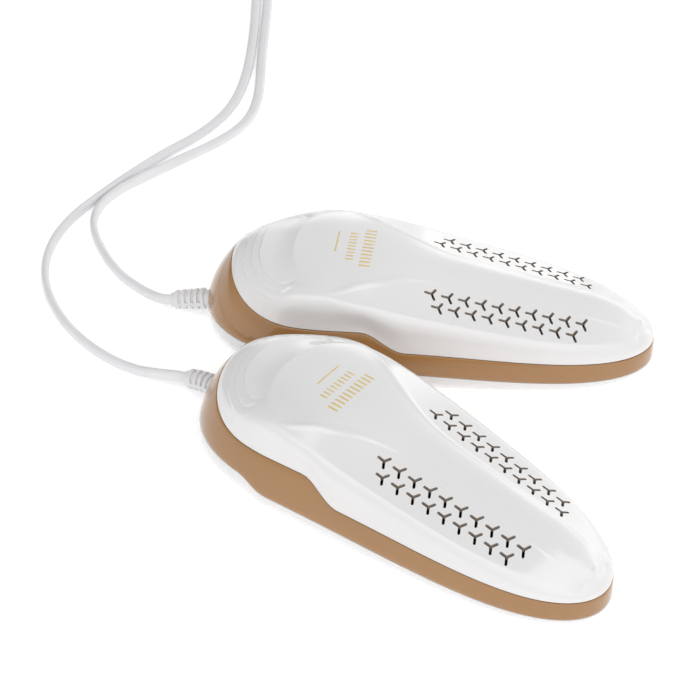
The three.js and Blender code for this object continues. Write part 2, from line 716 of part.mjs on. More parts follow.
const group = new THREE.Group();
for (const dryer of DRYERS) {
  group.add(dryerGroup(dryer));
  group.add(named(`${dryer.name}_branch_cord`, branchCord(dryer), FINISHES.cord()));
}
group.add(named('y_splitter', ySplitter(), FINISHES.rubber()));
group.add(named('mains_lead', rod(LEAD_IN, CORD_TUBE_RADIUS, 5), FINISHES.cord()));
group.add(named('cord_coil', cordCoil(), FINISHES.cord()));
group.add(named('plug_tail', rod(LEAD_OUT, CORD_TUBE_RADIUS, 4), FINISHES.cord()));
group.add(named('cord_tie', cordTie(), FINISHES.tie()));
group.add(named('plug_body', plugBody(), FINISHES.rubber()));
group.add(named('plug_pin_1', plugPin(1), FINISHES.brass()));
group.add(named('plug_pin_2', plugPin(-1), FINISHES.brass()));

export default group;
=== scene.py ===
import math

import bmesh
import bpy
import numpy as np
from mathutils import Matrix, Vector
from mathutils.bvhtree import BVHTree


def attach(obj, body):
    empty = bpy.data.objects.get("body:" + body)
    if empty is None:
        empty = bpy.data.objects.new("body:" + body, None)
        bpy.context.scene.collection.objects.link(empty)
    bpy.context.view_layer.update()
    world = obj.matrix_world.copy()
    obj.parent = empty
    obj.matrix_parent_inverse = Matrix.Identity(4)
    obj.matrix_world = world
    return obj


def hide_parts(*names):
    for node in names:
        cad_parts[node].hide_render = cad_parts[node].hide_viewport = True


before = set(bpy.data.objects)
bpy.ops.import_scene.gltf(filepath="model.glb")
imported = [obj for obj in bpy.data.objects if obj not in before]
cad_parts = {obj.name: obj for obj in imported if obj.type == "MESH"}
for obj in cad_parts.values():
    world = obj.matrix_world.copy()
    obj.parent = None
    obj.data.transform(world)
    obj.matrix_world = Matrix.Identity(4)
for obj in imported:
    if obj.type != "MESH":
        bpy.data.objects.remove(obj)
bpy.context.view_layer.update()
MM = 0.001

# ---------- Camera ----------

ELEVATION = math.radians(40.98)
TARGET = Vector((-36.17, 36.85, 16.4)) * MM
DISTANCE = 1119.75 * MM

back = Vector((0, -math.cos(ELEVATION), math.sin(ELEVATION)))
camera_data = bpy.data.cameras.new("camera")
camera_data.sensor_width = 36
camera_data.lens = 129.14
camera_data.clip_end = 20
camera = bpy.data.objects.new("camera", camera_data)
camera.location = TARGET + back * DISTANCE
camera.rotation_euler = back.to_track_quat("Z", "Y").to_euler()
bpy.context.scene.collection.objects.link(camera)
bpy.context.scene.camera = camera
bpy.context.scene.view_settings.view_transform = "Standard"

# ---------- Dimensions, as in the CAD but for SLOT_ARM (3.3 there) and the cord (round there) ----------

LENGTH, WIDEST_AT, HALF_WIDTH, TAPER, TOE_POWER, HEEL_POWER = 205, 56, 41.6, 0.063, 5.13, 2.4
BELT_HEIGHT, LEAN = 7, 0.0123
FACET_START, FACET_END, HEEL_CENTRE = 61.7, 197.8, 41
WALL, SEAM, SOLE_WALL = 2, 0.3, 2.2
TONGUE_WALL, TONGUE_RISE, TONGUE_TUCK = 1.2, 1.2, 1.4
SLOT_PITCH, SLOT_MIDDLE, SLOT_ARM, SLOT_WIDTH = 7.5, 139.1, 3.4, 1.2
SLOT_ROWS, SLOT_CUT = ((10, 15.8), (9, 22.1)), (12, 60)
CASE_SCREWS = ((38, 24), (38, -24), (182, 12), (182, -12))
RELIEF_HEIGHT, RELIEF_DROOP = 9.4, math.radians(10)
CORD_WIDTH, CORD_THICKNESS = 5.2, 3.6
DRYERS = {
    "front": ((-94.27, 19.25), math.radians(-37.88)),
    "rear": ((-101.57, 81.15), math.radians(-8.41)),
}


def placed(name):
    """Matrix from a dryer's own frame to the row frame, in metres."""
    (x, y), turn = DRYERS[name]
    return Matrix.Translation((x * MM, y * MM, 0)) @ Matrix.Rotation(turn, 4, "Z")


# ---------- Curves ----------


def mix(a, b, t):
    return a + (b - a) * t


def smooth_step(low, high, v):
    t = np.clip((v - low) / (high - low), 0, 1)
    return t * t * (3 - 2 * t)


def through(*points):
    """Smooth curve through [x, value] points, with no overshoot between them."""
    xs, ys = np.array(points, float).T
    slope = np.diff(ys) / np.diff(xs)
    tangent = np.empty(len(xs))
    tangent[0], tangent[-1] = slope[0], slope[-1]
    product = slope[:-1] * slope[1:]
    total = slope[:-1] + slope[1:]
    tangent[1:-1] = np.where(product > 0, 2 * product / np.where(product > 0, total, 1), 0)

    def at(x):
        x = np.clip(x, xs[0], xs[-1])
        k = np.clip(np.searchsorted(xs, x) - 1, 0, len(slope) - 1)
        span = xs[k + 1] - xs[k]
        t = (x - xs[k]) / span
        rest = 1 - t
        ends = ys[k] * rest * rest * (1 + 2 * t) + ys[k + 1] * t * t * (3 - 2 * t)
        return ends + span * t * rest * (tangent[k] * rest - tangent[k + 1] * t)

    return at


crown = through(
    (41, 47.6), (62, 48.3), (77, 48), (92, 46.4), (113, 41.7),
    (132, 38.2), (177, 29.8), (189, 25.7), (198, 20.4),
)
crease_half = through(
    (61.7, 30), (100, 12.8), (112, 10.3), (132, 9.4), (176, 9.4), (189, 8.2), (197.8, 5.8),
)
crease_rise = through(
    (61.7, 0), (77, 5), (92, 6.4), (112, 5.5), (176, 5.2), (189, 3.8), (197.8, 0),
)


def half_width(x):
    heel = np.clip((WIDEST_AT - x) / WIDEST_AT, 0, 1)
    toe = np.clip((x - WIDEST_AT) / (LENGTH - WIDEST_AT), 0, 1)
    wide = HALF_WIDTH - TAPER * np.maximum(x - WIDEST_AT, 0)
    return wide * np.sqrt(1 - heel**HEEL_POWER) * np.sqrt(1 - toe**TOE_POWER)


def band_top(x):
    step = mix(27.5, 19.5, smooth_step(76, 96, x))
    heel_rise = 11.5 * np.maximum(0, 1 - x / 45) ** 2
    return step + heel_rise - 8 * np.maximum(0, (x - 95) / 110) ** 1.6


def band_bottom(x):
    step = mix(14.8, 9.8, smooth_step(44, 60, x))
    return step - 7.3 * np.maximum(0, (x - 60) / 145) ** 1.7


def shoulder_half(x):
    u = np.clip((x - WIDEST_AT) / 143, 0, 1)
    start = 3.6 * np.clip(1 - (x - FACET_START) / 25, 0, 1) ** 2
    return 0.815 * (HALF_WIDTH - TAPER * (x - WIDEST_AT)) * np.sqrt(1 - u**6) - start


# ---------- Outline of one dryer, toe to heel on one side and back on the other ----------

TOE_STEPS, HEEL_STEPS = 96, 104


class Outline:
    def __init__(self):
        toe = WIDEST_AT + (LENGTH - WIDEST_AT) * np.cos(np.linspace(0, math.pi / 2, TOE_STEPS + 1))
        heel = WIDEST_AT * (1 - np.sin(np.linspace(0, math.pi / 2, HEEL_STEPS + 1)[1:]))
        x = np.concatenate([toe, heel])
        nudge = 0.01
        slope = (half_width(x + nudge) - half_width(x - nudge)) / (2 * nudge)
        long = np.hypot(1, slope)
        nx, ny, y = -slope / long, 1 / long, half_width(x)
        nx[0], ny[0], y[0] = 1, 0, 0
        nx[-1], ny[-1], y[-1] = -1, 0, 0
        self.x = np.concatenate([x, x[-2:0:-1]])
        self.y = np.concatenate([y, -y[-2:0:-1]])
        self.nx = np.concatenate([nx, nx[-2:0:-1]])
        self.ny = np.concatenate([ny, -ny[-2:0:-1]])

    def wall(self, z, inset=0.0):
        """Loop of the side wall at a height, moved in from the outer face by an inset."""
        z = z(self.x) if callable(z) else z + 0 * self.x
        move = LEAN * np.maximum(z - BELT_HEIGHT, 0) ** 2 + inset
        return np.stack([self.x - move * self.nx, self.y - move * self.ny, z], 1)

    def spine(self, z):
        middle = np.clip(self.x, HEEL_CENTRE, FACET_END - 8)
        return np.stack([middle, 0 * middle, z + 0 * middle], 1)


OUT = Outline()


def loft(loops, closed_on_itself=False):
    """Vertices and quads of a skin through a stack of equal loops."""
    count, rows = len(loops[0]), len(loops)
    points = np.concatenate(loops)
    faces = []
    for k in range(rows if closed_on_itself else rows - 1):
        low, high = k * count, (k + 1) % rows * count
        for i in range(count):
            j = (i + 1) % count
            faces.append((low + i, low + j, high + j, high + i))
    return points, faces


def mesh_from(name, points, faces, sharp=40.0, merge=1e-4, materials=(), indices=None):
    """Mesh in metres from points in millimetres, merged, with its normals outward and smooth."""
    work = bmesh.new()
    verts = [work.verts.new(Vector(p) * MM) for p in np.asarray(points).tolist()]
    for k, face in enumerate(faces):
        made = work.faces.new([verts[i] for i in face])
        made.material_index = 0 if indices is None else int(indices[k])
    bmesh.ops.remove_doubles(work, verts=work.verts, dist=merge * MM)
    bmesh.ops.dissolve_degenerate(work, edges=work.edges, dist=merge * MM)
    bmesh.ops.recalc_face_normals(work, faces=work.faces)
    mesh = bpy.data.meshes.new(name)
    work.to_mesh(mesh)
    work.free()
    for material in materials:
        mesh.materials.append(material)
    smooth(mesh, sharp)
    return mesh


def smooth(mesh, sharp=40.0):
    mesh.shade_smooth()
    mesh.set_sharp_from_angle(angle=math.radians(sharp))


def add(mesh, name, material, replaces=(), matrix=None):
    """Puts a piece in the scene, riding on the one body."""
    if matrix is not None:
        mesh = mesh.copy()
        mesh.transform(matrix)
    piece = bpy.data.objects.new(name, mesh)
    bpy.context.scene.collection.objects.link(piece)
    if not mesh.materials:
        mesh.materials.append(material)
    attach(piece, "root")
    if replaces:
        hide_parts(*replaces)
    return piece


def combined(mesh, cutter, operation="DIFFERENCE"):
    """mesh with the cutter mesh taken away or added. New faces keep the cutter's materials."""
    target = bpy.data.objects.new("cut_target", mesh)
    tool = bpy.data.objects.new("cut_tool", cutter)
    for o in (target, tool):
        bpy.context.scene.collection.objects.link(o)
    modifier = target.modifiers.new("cut", "BOOLEAN")
    modifier.object, modifier.operation = tool, operation
    modifier.solver, modifier.material_mode = "EXACT", "TRANSFER"
    graph = bpy.context.evaluated_depsgraph_get()
    result = bpy.data.meshes.new_from_object(target.evaluated_get(graph))
    result.name = mesh.name
    for o in (target, tool):
        bpy.data.objects.remove(o)
    smooth(result)
    return result


# ---------- Cords ----------

CORD_SIDES = 24
FLOOR_GAP = 0.15


def smooth_path(points, step):
    """Points every step or so along a centripetal spline through the route points."""
    p = np.array(points, float)
    p = np.concatenate([[2 * p[0] - p[1]], p, [2 * p[-1] - p[-2]]])
    out = []
    for a, b, c, d in zip(p[:-3], p[1:-2], p[2:-1], p[3:]):
        ta = 0
        tb = ta + np.linalg.norm(b - a) ** 0.5
        tc = tb + np.linalg.norm(c - b) ** 0.5
        td = tc + np.linalg.norm(d - c) ** 0.5
        for t in np.linspace(tb, tc, max(2, int(np.linalg.norm(c - b) / step) + 1))[:-1]:
            ab = a * (tb - t) / (tb - ta) + b * (t - ta) / (tb - ta)
            bc = b * (tc - t) / (tc - tb) + c * (t - tb) / (tc - tb)
            cd = c * (td - t) / (td - tc) + d * (t - tc) / (td - tc)
            abc = ab * (tc - t) / (tc - ta) + bc * (t - ta) / (tc - ta)
            bcd = bc * (td - t) / (td - tb) + cd * (t - tb) / (td - tb)
            out.append(abc * (tc - t) / (tc - tb) + bcd * (t - tb) / (tc - tb))
    out.append(p[-2])
    return np.array(out)


def lengths_along(path):
    return np.concatenate([[0], np.cumsum(np.linalg.norm(np.diff(path, axis=0), axis=1))])


def tangents(path):
    t = np.gradient(path, axis=0)
    return t / np.linalg.norm(t, axis=1)[:, None]


def flat_section():
    """Outline of the flat cord: its width along the first axis, its thickness along the second."""
    radius = CORD_THICKNESS / 2
    shift = (CORD_WIDTH - CORD_THICKNESS) / 2
    angles = np.linspace(0, 2 * math.pi, CORD_SIDES, endpoint=False) + math.pi / CORD_SIDES
    side = np.where(np.cos(angles) > 0, shift, -shift)
    return np.stack([side + radius * np.cos(angles), radius * np.sin(angles)], 1)


def cord_mesh(name, path, flatness):
    """Tube of the flat section along a path. Flatness 0 stands it on its edge, 1 lays it flat."""
    along = tangents(path)
    level = np.cross(np.array([0, 0, 1.0]), along)
    level /= np.linalg.norm(level, axis=1)[:, None]
    upright = np.cross(along, level)
    angle = np.asarray(flatness)[:, None] * math.pi / 2
    wide = upright * np.cos(angle) + level * np.sin(angle)
    thin = -upright * np.sin(angle) + level * np.cos(angle)
    section = flat_section()
    loops = [p + section[:, :1] * w + section[:, 1:] * t for p, w, t in zip(path, wide, thin)]
    points, faces = loft(loops)
    count = len(section)
    faces += [tuple(range(count))[::-1], tuple(range(len(points) - count, len(points)))]
    return mesh_from(name, points, faces)


def resting_height(flatness):
    lift = (CORD_WIDTH - CORD_THICKNESS) / 2
    return CORD_THICKNESS / 2 + FLOOR_GAP + lift * np.cos(np.asarray(flatness) * math.pi / 2)


# Route of each branch from its relief's tip to the splitter, in plan
BRANCH_ROUTES = {
    "front": [
        (-113, 29.8), (-120.6, 32.2), (-129.8, 36), (-139, 41.9), (-147.6, 48.7), (-155.5, 56.3),
        (-162.5, 64.8), (-168.5, 74), (-173.4, 84), (-177.1, 94.4), (-179.4, 105.2), (-180, 116.1),
        (-178.9, 126.9), (-176.1, 137.5), (-171.7, 147.6), (-166, 157.1), (-159.3, 166.1),
        (-152.5, 174.6), (-145.5, 183), (-138.4, 191.3), (-131.2, 199.5), (-123.6, 207.5),
        (-115.8, 215.3), (-108.6, 223.7), (-102.3, 232.8), (-97.3, 242.5), (-93.8, 252.8),
        (-91.4, 263.6), (-89.6, 276), (-88, 296.5), (-87.1, 318.4), (-86.7, 351),
    ],
    "rear": [
        (-123.2, 84.9), (-129.4, 89.3), (-136.6, 97), (-143.6, 105.8), (-149.3, 115.2),
        (-154.1, 125.3), (-157.9, 135.9), (-159.7, 146.6), (-158.3, 157.2), (-153.8, 166.6),
        (-146.7, 175), (-138.2, 182.5), (-129.7, 189.7), (-121.4, 196.7), (-113, 203.7),
        (-104.5, 211), (-96.7, 218.9), (-90.3, 227.7), (-86.1, 237.7), (-83.9, 248.5),
        (-82.9, 259.6), (-82.5, 281.6), (-81.8, 303.6), (-81, 325.5), (-80.3, 351),
    ],
}
# Where a cord lies inside the heel, and then in its relief, in the dryer's own frame
TAIL = ((28, 0, 12), (22, 0, 12), (14, 0, 11.6))
RELIEF_AXIS = {
    "front": ((7, 0, 10.4), (0, 0, 9.6), (-8, -0.3, 8.9), (-17, -2.2, 7.9)),
    "rear": ((7, 0, 10.6), (0, 0, 9.6), (-8, 0, 8.2), (-17, 0, 6.7)),
}


def to_row(name, points):
    matrix = placed(name)
    return np.array([tuple(matrix @ (Vector(p) * MM) / MM) for p in points])


def branch_path(name):
    """Path of a branch cord from its clamp to the splitter, and its flatness."""
    held = to_row(name, TAIL + RELIEF_AXIS[name])
    plan = np.array(BRANCH_ROUTES[name])
    away = lengths_along(np.concatenate([held[-1:, :2], plan]))[1:]
    flatness = smooth_step(160, 225, plan[:, 1])
    rest = resting_height(flatness)
    lift = (held[-1, 2] - rest[0]) * (1 - smooth_step(-6, 42, away))
    into_splitter = smooth_step(330, 351, plan[:, 1]) * (SPLITTER_HEIGHT - rest)
    free = np.column_stack([plan, rest + lift + into_splitter])
    path = smooth_path(np.concatenate([held, free]), 2.5)
    return path, smooth_step(160, 225, path[:, 1])


# The splitter, and the coil that the rest of the mains lead is wound into
SPLITTER_X, SPLITTER_START, SPLITTER_END, SPLITTER_HEIGHT = -83.5, 350, 374, 3.5
COIL_CENTRE = (-51.3, 436)
COIL_TURNS, COIL_CLIMB = 4.25, (2.1, 2.4)
COIL_RADIUS, COIL_PITCH, COIL_TOP_PITCH = 32.2, 4.1, 4.1 * 7.2 / 7.585
COIL_HEIGHT, COIL_RISE, COIL_SHIFT, COIL_TIE_LIFT = 2.7, 5.3, 0.9, 1.1
TIE_ANGLE, TIE_WIDTH = math.radians(-50), 6
PLUG_X, PLUG_Y, PLUG_LENGTH, PLUG_HEIGHT = 5, 465.8, 34, 6.9
PIN_SPACING = 18.6


def coil_point(turn):
    """Point of the coil: a lower layer that winds inward, then an upper one that winds out again."""
    angle = math.pi - 2 * math.pi * turn
    start, end = COIL_CLIMB
    radius = COIL_RADIUS - COIL_PITCH * min(turn, start)
    radius -= COIL_SHIFT * smooth_step(start, end, turn)
    radius += COIL_TOP_PITCH * max(turn - end, 0)
    z = COIL_HEIGHT + COIL_RISE * smooth_step(start, end, turn)
    from_tie = math.remainder(angle - TIE_ANGLE, 2 * math.pi)
    z += COIL_TIE_LIFT * (1 - smooth_step(0.12, 0.6, abs(from_tie)))
    return (COIL_CENTRE[0] + radius * math.cos(angle), COIL_CENTRE[1] + radius * math.sin(angle), z)


def mains_path():
    """Path of the mains lead from the splitter through its coil to the plug, and its flatness."""
    low = ((372, SPLITTER_HEIGHT), (378, 3.4), (390, 2.9), (404, COIL_HEIGHT), (420, COIL_HEIGHT))
    start = [(SPLITTER_X + 0.3 * smooth_step(372, 420, y), y, z) for y, z in low]
    coil = [coil_point(k / 16) for k in range(int(COIL_TURNS * 16) + 1)]
    high = ((-40, 7.9), (-29.5, 7.6), (-19, 7.2), (-8, PLUG_HEIGHT), (7, PLUG_HEIGHT))
    end = [(x, PLUG_Y, z) for x, z in high]
    path = smooth_path(start + coil + end, 2.2)
    at = lengths_along(path)
    return path, (1 - smooth_step(4, 34, at)) + smooth_step(at[-1] - 42, at[-1] - 14, at)


# ---------- Materials ----------


class Look:
    """Principled material with a mottled colour, uneven gloss and a fine moulded grain."""

    def __init__(self, name, color, roughness, metallic=0.0, coat=0.0):
        self.material = bpy.data.materials.new(name)
        self.material.use_nodes = True
        self.nodes, self.links = self.material.node_tree.nodes, self.material.node_tree.links
        self.shader = self.nodes["Principled BSDF"]
        self.shader.inputs["Metallic"].default_value = metallic
        self.shader.inputs["Coat Weight"].default_value = coat
        self.shader.inputs["Coat Roughness"].default_value = 0.08
        self.color, self.roughness = color, roughness
        self.place = self.nodes.new("ShaderNodeTexCoord").outputs["Object"]

    def noise(self, scale, detail=3.0, place=None):
        node = self.nodes.new("ShaderNodeTexNoise")
        node.inputs["Scale"].default_value = scale
        node.inputs["Detail"].default_value = detail
        self.links.new(place or self.place, node.inputs["Vector"])
        return node.outputs["Fac"]

    def span(self, value, low, high):
        node = self.nodes.new("ShaderNodeMapRange")
        node.inputs["From Min"].default_value, node.inputs["From Max"].default_value = 0.25, 0.75
        node.inputs["To Min"].default_value, node.inputs["To Max"].default_value = low, high
        self.links.new(value, node.inputs["Value"])
        return node.outputs["Result"]

    def mottle(self, scale, shift):
        """Colour that drifts between a darker and a lighter form of the base."""
        ramp = self.nodes.new("ShaderNodeValToRGB")
        ramp.color_ramp.elements[0].position, ramp.color_ramp.elements[1].position = 0.3, 0.7
        dark = [c * (1 - shift) for c in self.color]
        light = [min(1.0, c * (1 + shift)) for c in self.color]
        ramp.color_ramp.elements[0].color = (*dark, 1)
        ramp.color_ramp.elements[1].color = (*light, 1)
        self.links.new(self.noise(scale), ramp.inputs["Fac"])
        self.links.new(ramp.outputs["Color"], self.shader.inputs["Base Color"])
        return self

    def gloss(self, scale, drift=0.05):
        value = self.span(self.noise(scale, 5), self.roughness - drift, self.roughness + drift)
        self.links.new(value, self.shader.inputs["Roughness"])
        return self

    def grain(self, scale, height, strength=1.0, value=None):
        bump = self.nodes.new("ShaderNodeBump")
        bump.inputs["Strength"].default_value = strength
        bump.inputs["Distance"].default_value = height * MM
        self.links.new(value or self.noise(scale, 4), bump.inputs["Height"])
        self.links.new(bump.outputs["Normal"], self.shader.inputs["Normal"])
        return self


def plastic(name, color, roughness, mottle=35, shift=0.02, grain=0.004, scale=900, coat=0.0):
    look = Look(name, color, roughness, coat=coat)
    look.mottle(mottle, shift).gloss(60, min(0.04, roughness * 0.3)).grain(scale, grain)
    return look.material


def metal(name, color, roughness, stretch=(1, 1, 1)):
    """Metal with fine drawn lines along the axis whose scale is smallest."""
    look = Look(name, color, roughness, metallic=1.0)
    mapping = look.nodes.new("ShaderNodeMapping")
    mapping.inputs["Scale"].default_value = stretch
    look.links.new(look.place, mapping.inputs["Vector"])
    lines = look.noise(700, 2, mapping.outputs["Vector"])
    look.mottle(80, 0.08).gloss(150, 0.08).grain(0, 0.01, 0.6, lines)
    return look.material


SHELL = plastic("shell_white", (0.80, 0.792, 0.792), 0.17, mottle=22, shift=0.008, grain=0.0015, coat=0.6)
# Painted shade: the slot walls get a darker warm grey that stands in for the shade inside the slots, in
# place of the shell's white.
SLOT_SHADE = plastic("slot_painted_shade", (0.40, 0.34, 0.29), 0.4)
# Painted shade: the top shell's inner skin is made near black to stand for the shade inside the shell,
# seen through the slots.
INSIDE_SHADE = plastic("inside_painted_shade", (0.018, 0.012, 0.009), 0.6, grain=0.01)
BAND = plastic("band_caramel", (0.365, 0.187, 0.066), 0.13, mottle=30, shift=0.03, grain=0.0015, coat=0.5)
RUBBER = plastic("relief_grey", (0.76, 0.755, 0.76), 0.5, grain=0.003, scale=1400)
CORD = plastic("cord_grey", (0.76, 0.76, 0.775), 0.38, mottle=60, shift=0.03, grain=0.002, scale=700)
PLUG = plastic("plug_grey", (0.62, 0.62, 0.64), 0.42, grain=0.005, scale=1100)
SLEEVE = plastic("pin_sleeve", (0.03, 0.03, 0.032), 0.45)
TIE = plastic("tie_black", (0.022, 0.022, 0.024), 0.42, grain=0.02, scale=600)
BRACKET = plastic("bracket_black", (0.03, 0.028, 0.026), 0.5, grain=0.03, scale=800)
CERAMIC = plastic(
    "heater_ceramic", (0.11, 0.095, 0.08), 0.75, mottle=220, shift=0.15, grain=0.05, scale=1500,
)
LEAD_BROWN = plastic("lead_brown", (0.15, 0.05, 0.018), 0.4)
LEAD_BLUE = plastic("lead_blue", (0.03, 0.08, 0.28), 0.4)
GOLD = plastic("mark_gold", (0.72, 0.56, 0.24), 0.35, mottle=300, shift=0.06, grain=0.004)
STEEL = metal("screw_steel", (0.42, 0.43, 0.45), 0.32)
NICKEL = metal("pin_nickel", (0.72, 0.69, 0.62), 0.2)
ALUMINIUM = metal("radiator_aluminium", (0.66, 0.67, 0.69), 0.36, (1, 0.04, 1))

# ---------- Top shell ----------

# Points along one row: evenly spread, and before that on its wall, its facet and its plateau
SIDE_POINTS, WALL_STEPS, FACET_STEPS, PLATEAU_STEPS = 420, 120, 40, 160
SHOULDER_BLUR, CREASE_BLUR = 0.7, 0.45
RIDGE_HEIGHT, RIDGE_SPREAD = 0.5, 0.6
STEP_DEPTH, HOLLOW_DEPTH = 0.55, 1.0
SHOULDER_HEIGHT, SHOULDER_FALL, SHOULDER_SLOPE = 44.1, 0.19, math.radians(32)
OUTER_ROWS, INNER_ROWS, RIM_BEVEL = 112, 24, 0.28


def seam_reach(x):
    return half_width(x) - LEAN * (band_top(x) - BELT_HEIGHT) ** 2


HEEL_SHARE = float(crease_half(FACET_START) / seam_reach(FACET_START))
TOE_SHARE = float(crease_half(FACET_END) / seam_reach(FACET_END))


def row_marks(x, reach, rim, top):
    """Share and height of the crease and of the shoulder on the row that starts at x."""
    if x <= FACET_START:
        height = mix(rim, top, mix(0.45, 0.797, smooth_step(12, 58, x)))
        return (HEEL_SHARE, height), (HEEL_SHARE, height)
    if x >= FACET_END:
        height = mix(rim, top, 0.68)
        return (TOE_SHARE, height), (TOE_SHARE, height)
    height = SHOULDER_HEIGHT - SHOULDER_FALL * (x - FACET_START)
    crease = (crease_half(x) / reach, height + crease_rise(x))
    return crease, (shoulder_half(x) / reach, height)


def blurred(profile, step, radius, across):
    """Profile smoothed along its length, with mirrored ends so that they stay put."""
    reach = max(2, int(3 * radius / step))
    weights = np.exp(-0.5 * (np.arange(-reach, reach + 1) * step / radius) ** 2)
    weights /= weights.sum()
    before = 2 * profile[0] - profile[reach:0:-1]
    after = profile[-2:-reach - 2:-1] * across
    padded = np.concatenate([before, profile, after])
    return np.stack([np.convolve(padded[:, k], weights, "valid") for k in (0, 1)], 1)


def top_profile(x, outer, rim, rim_height, inset):
    """One row of the top skin, from the rim to the crown, as distance from the middle and height."""
    middle = float(np.clip(rim[0], HEEL_CENTRE, FACET_END))
    outer_reach = math.hypot(outer[0] - np.clip(outer[0], HEEL_CENTRE, FACET_END), outer[1])
    reach = math.hypot(rim[0] - middle, rim[1])
    top = float(crown(middle))
    (crease_share, crease_z), (shoulder_share, shoulder_z) = row_marks(x, outer_reach, rim_height, top)
    power = mix(3, 2, smooth_step(FACET_START, 100, x))
    drop = top - crease_z
    end_slope = power * drop / (crease_share * outer_reach)
    on_facets = smooth_step(FACET_START, 80, x) * (1 - smooth_step(188, FACET_END, x))
    angle = mix(math.atan(end_slope), SHOULDER_SLOPE, on_facets)
    foot = np.array([reach, rim_height])
    shoulder = np.array([shoulder_share * reach, shoulder_z - inset])
    handle = 0.42 * np.linalg.norm(shoulder - foot)
    rise = np.array([-2 * LEAN * (rim_height - BELT_HEIGHT), 1])
    controls = (foot, foot + rise / np.linalg.norm(rise) * handle,
                shoulder + np.array([math.cos(angle), -math.sin(angle)]) * handle, shoulder)
    t = np.linspace(0, 1, WALL_STEPS)[:, None]
    weights = ((1 - t) ** 3, 3 * t * (1 - t) ** 2, 3 * t * t * (1 - t), t**3)
    side = sum(w * c for w, c in zip(weights, controls))
    crease = np.array([crease_share * reach, crease_z - inset])
    facet = shoulder + (crease - shoulder) * np.linspace(0, 1, FACET_STEPS)[1:, None]
    q = np.linspace(1, 0, PLATEAU_STEPS)[1:]
    plateau = np.stack([crease[0] * q, top - inset - drop * q**power], 1)
    whole = np.concatenate([side, facet, plateau])
    along = lengths_along(whole)
    even = np.linspace(0, along[-1], SIDE_POINTS)
    profile = np.stack([np.interp(even, along, whole[:, k]) for k in (0, 1)], 1)
    if not inset:
        step = even[1]
        at_shoulder, at_crease = along[WALL_STEPS - 1], along[WALL_STEPS + FACET_STEPS - 2]
        soft = blurred(profile, step, SHOULDER_BLUR, np.array([-1, 1]))
        crisp = blurred(profile, step, CREASE_BLUR, np.array([-1, 1]))
        half = (at_shoulder + at_crease) / 2
        toward_crown = smooth_step(half - 1.2, half + 1.2, even)[:, None]
        mixed = mix(soft, crisp, toward_crown)
        hold = smooth_step(0.3, 5, even) * (1 - smooth_step(along[-1] - 3, along[-1], even))
        profile = mix(profile, mixed, hold[:, None])
        shown = smooth_step(FACET_START - 2, FACET_START + 3, x) * (1 - 0.75 * smooth_step(85, 125, x))
        shown *= 1 - smooth_step(186, 196, x)
        profile[:, 1] += RIDGE_HEIGHT * shown * np.exp(-0.5 * ((even - at_crease) / RIDGE_SPREAD) ** 2)
    return profile, even, middle, reach


def top_grid(inset, count, bevel=0.0):
    """Grid of points of the top skin, [level from rim to crown][station round the outline]."""
    rim_height = band_top(OUT.x) + SEAM / 2
    rims, outers = OUT.wall(rim_height, inset), OUT.wall(rim_height, 0)
    columns = []
    for x, rim, outer, height in zip(outers[:, 0], rims, outers, rim_height):
        profile, even, middle, reach = top_profile(float(x), outer, rim, float(height), inset)
        share = np.linspace(0, 1, count)
        at = bevel + (even[-1] - bevel) * share
        p = np.stack([np.interp(at, even, profile[:, k]) for k in (0, 1)], 1)
        toward = np.array([rim[0] - middle, rim[1]]) / reach
        columns.append(np.stack([middle + toward[0] * p[:, 0], toward[1] * p[:, 0], p[:, 1]], 1))
    return np.stack(columns, 1)


def arch_x(level, y):
    """Curve of one raised arch round the heel. Level 0 is the inner one, 2 the outer one."""
    start, end_y, end = 26 - 3.5 * level, 24.5 + 4 * level, 39.4 + 0.2 * level
    return start + (end - start) * (np.abs(y) / end_y) ** 3.2


def arch_level(x, y):
    levels = np.linspace(-1.5, 5, 131)
    curve = arch_x(levels[:, None], y[None])
    above = np.clip((curve > x[None]).sum(0), 1, len(levels) - 1)
    pick = np.arange(len(x))
    high, low = curve[above - 1, pick], curve[above, pick]
    t = np.clip((high - x) / np.maximum(high - low, 1e-6), -1, 2)
    return levels[above - 1] + t * (levels[1] - levels[0])


def heel_relief(x, y):
    """Height of the steps, hooks and hollow moulded into the heel, along the surface's normal."""
    hook = (np.abs(y) + 0.4 * (x - 39.5) - 24.5) / 4
    level = np.maximum(arch_level(x, y), np.where(x > 38, hook, -2))
    steps = np.zeros_like(x)
    for k in range(3):
        t = level - k
        steps += np.where((t > 0) & (t < 1), -STEP_DEPTH * smooth_step(0, 0.13, t) * (1 - t), 0)
    steps *= 1 - smooth_step(42, 46, x)
    steps *= 1 - 0.8 * smooth_step(28, 32, np.abs(y)) * smooth_step(33, 37, x)
    plateau = 60 - 19 * np.sqrt(np.clip(1 - (y / 29.5) ** 2, 0, 1))
    inner = arch_x(0.0, y)
    t = np.clip((x - inner) / np.maximum(plateau - inner, 0.5), 0, 1)
    hollow = -HOLLOW_DEPTH * np.sin(math.pi * t) * (1 - smooth_step(22, 28, np.abs(y)))
    return steps + hollow


def grid_normals(grid):
    down = np.gradient(grid, axis=0)
    around = np.roll(grid, -1, 1) - np.roll(grid, 1, 1)
    normal = np.cross(around, down)
    long = np.linalg.norm(normal, axis=2, keepdims=True)
    normal = np.where(long > 1e-9, normal / np.maximum(long, 1e-9), (0, 0, 1.0))
    return np.where(normal[..., 2:] < 0, -normal, normal)


def outer_top():
    grid = top_grid(0, OUTER_ROWS, RIM_BEVEL)
    normal = grid_normals(grid)
    flat = grid.reshape(-1, 3)
    lift = heel_relief(flat[:, 0], flat[:, 1]) * smooth_step(31, 35, flat[:, 2])
    lift *= 1 - smooth_step(62, 66, flat[:, 0])
    return grid + lift.reshape(grid.shape[:2])[..., None] * normal


